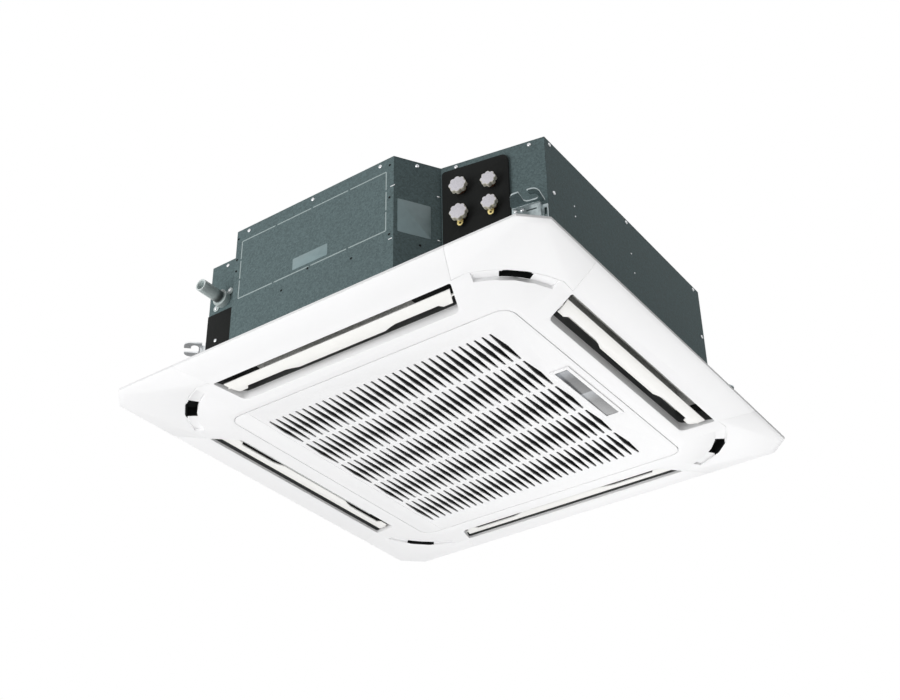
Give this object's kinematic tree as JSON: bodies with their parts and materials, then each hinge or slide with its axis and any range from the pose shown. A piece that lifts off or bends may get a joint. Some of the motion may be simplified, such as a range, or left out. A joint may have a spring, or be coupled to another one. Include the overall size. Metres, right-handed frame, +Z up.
{
  "type": "ceiling cassette air conditioner",
  "caption": "Square ceiling cassette indoor unit: white four-way air panel with hinged return grille and louvres under a grey sheet-metal casing with pipes, drain and hanger lugs.",
  "frame": {"origin": "Centre of the air panel in the plane of its top edge, which is the ceiling's underside; the point between the four suspension rods.", "axes": "+Z up, away from the room; -Y towards the casing's front with the knock-out plate; +X towards the side of the grille with the display."},
  "size_m": [0.95, 0.95, 0.3325],
  "materials": {
    "panel_white": "satin white moulded plastic",
    "inner_white": "unpainted moulded plastic",
    "black_plastic": "matt black moulded plastic",
    "smoked_window": "smoked see-through plastic, polished",
    "galvanised": "dark grey-green speckled galvanised sheet",
    "zinc": "zinc-plated steel",
    "black_foam": "black closed-cell foam",
    "white_foam": null,
    "motor_metal": "dark cast motor case",
    "cap_ivory": "ivory moulded plastic",
    "brass": "plain brass",
    "copper": null,
    "fins": "aluminium fins on copper tubes",
    "hose_grey": "translucent grey-green plastic",
    "board": "green circuit board with dark parts",
    "filter": "dark woven plastic net in a frame"
  },
  "bodies": {
    "unit": {"panel_frame_front": "panel_white", "panel_frame_right": "panel_white", "panel_frame_back": "panel_white", "panel_frame_left": "panel_white", "corner_cover_1": "panel_white", "corner_cover_2": "panel_white", "corner_cover_3": "panel_white", "corner_cover_4": "panel_white", "drain_pump": "inner_white", "float_switch": "inner_white", "cooling_supply_cap": "cap_ivory", "cooling_return_cap": "cap_ivory", "heating_supply_cap": "cap_ivory", "heating_return_cap": "cap_ivory", "fan_motor": "motor_metal", "bell_mouth": "black_plastic", "cable_grommet": "black_plastic", "louvre_motor_front": "black_plastic", "louvre_motor_right": "black_plastic", "louvre_motor_back": "black_plastic", "louvre_motor_left": "black_plastic", "top_plate": "galvanised", "front_wall": "galvanised", "pipe_plate": "galvanised", "right_back_wall": "galvanised", "left_wall": "galvanised", "insulation_liner": "white_foam", "drain_pan": "white_foam", "pipe_foam": "black_foam", "drain_foam": "black_foam", "cooling_supply_pipe": "copper", "cooling_return_pipe": "copper", "heating_supply_pipe": "copper", "heating_return_pipe": "copper", "cooling_supply_vent": "brass", "heating_supply_vent": "brass", "coil": "fins", "drain_hose": "hose_grey", "drain_stub": "hose_grey", "control_box": "zinc", "control_box_cover": "zinc", "hanger_lug_pipe_side": "zinc", "hanger_lug_right_back": "zinc", "hanger_lug_left_back": "zinc", "hanger_lug_drain_side": "zinc", "control_board": "board"},
    "fan_wheel": {"impeller": "inner_white", "motor_shaft": "zinc"},
    "grille": {"return_grille": "panel_white", "air_filter": "filter", "display_housing": "panel_white", "display_lens": "smoked_window"},
    "latch_1": {"grille_latch_1": "inner_white"},
    "latch_2": {"grille_latch_2": "inner_white"},
    "louvre_front": {"louvre_front": "panel_white"},
    "louvre_right": {"louvre_right": "panel_white"},
    "louvre_back": {"louvre_back": "panel_white"},
    "louvre_left": {"louvre_left": "panel_white"},
    "pump_float": {"pump_float": "cap_ivory"}
  },
  "joints": [
    {"name": "fan_spin", "type": "hinge", "parent": "unit", "child": "fan_wheel", "pos_m": [0, 0, 0.2], "axis": [0, 0, 1], "continuous": true},
    {"name": "grille_hinge", "type": "hinge", "parent": "unit", "child": "grille", "pos_m": [0.292, 0, -0.03], "axis": [0, -1, 0], "range_deg": [0, 90]},
    {"name": "latch_1_slide", "type": "slide", "parent": "grille", "child": "latch_1", "axis": [1, 0, 0], "range_m": [0, 0.006], "stiffness_N_per_m": 200},
    {"name": "latch_2_slide", "type": "slide", "parent": "grille", "child": "latch_2", "axis": [1, 0, 0], "range_m": [0, 0.006], "stiffness_N_per_m": 200},
    {"name": "louvre_front_hinge", "type": "hinge", "parent": "unit", "child": "louvre_front", "pos_m": [0, -0.3765, -0.0185], "axis": [1, 0, 0], "range_deg": [0, 65]},
    {"name": "louvre_right_hinge", "type": "hinge", "parent": "unit", "child": "louvre_right", "pos_m": [0.3765, 0, -0.0185], "axis": [0, 1, 0], "range_deg": [0, 65]},
    {"name": "louvre_back_hinge", "type": "hinge", "parent": "unit", "child": "louvre_back", "pos_m": [0, 0.3765, -0.0185], "axis": [-1, 0, 0], "range_deg": [0, 65]},
    {"name": "louvre_left_hinge", "type": "hinge", "parent": "unit", "child": "louvre_left", "pos_m": [-0.3765, 0, -0.0185], "axis": [0, -1, 0], "range_deg": [0, 65]},
    {"name": "float_rise", "type": "slide", "parent": "unit", "child": "pump_float", "axis": [0, 0, 1], "range_m": [0, 0.012]}
  ],
  "couplings": [
    {"joint": "louvre_right_hinge", "follows": "louvre_front_hinge", "ratio": 1},
    {"joint": "louvre_back_hinge", "follows": "louvre_front_hinge", "ratio": 1},
    {"joint": "louvre_left_hinge", "follows": "louvre_front_hinge", "ratio": 1}
  ]
}
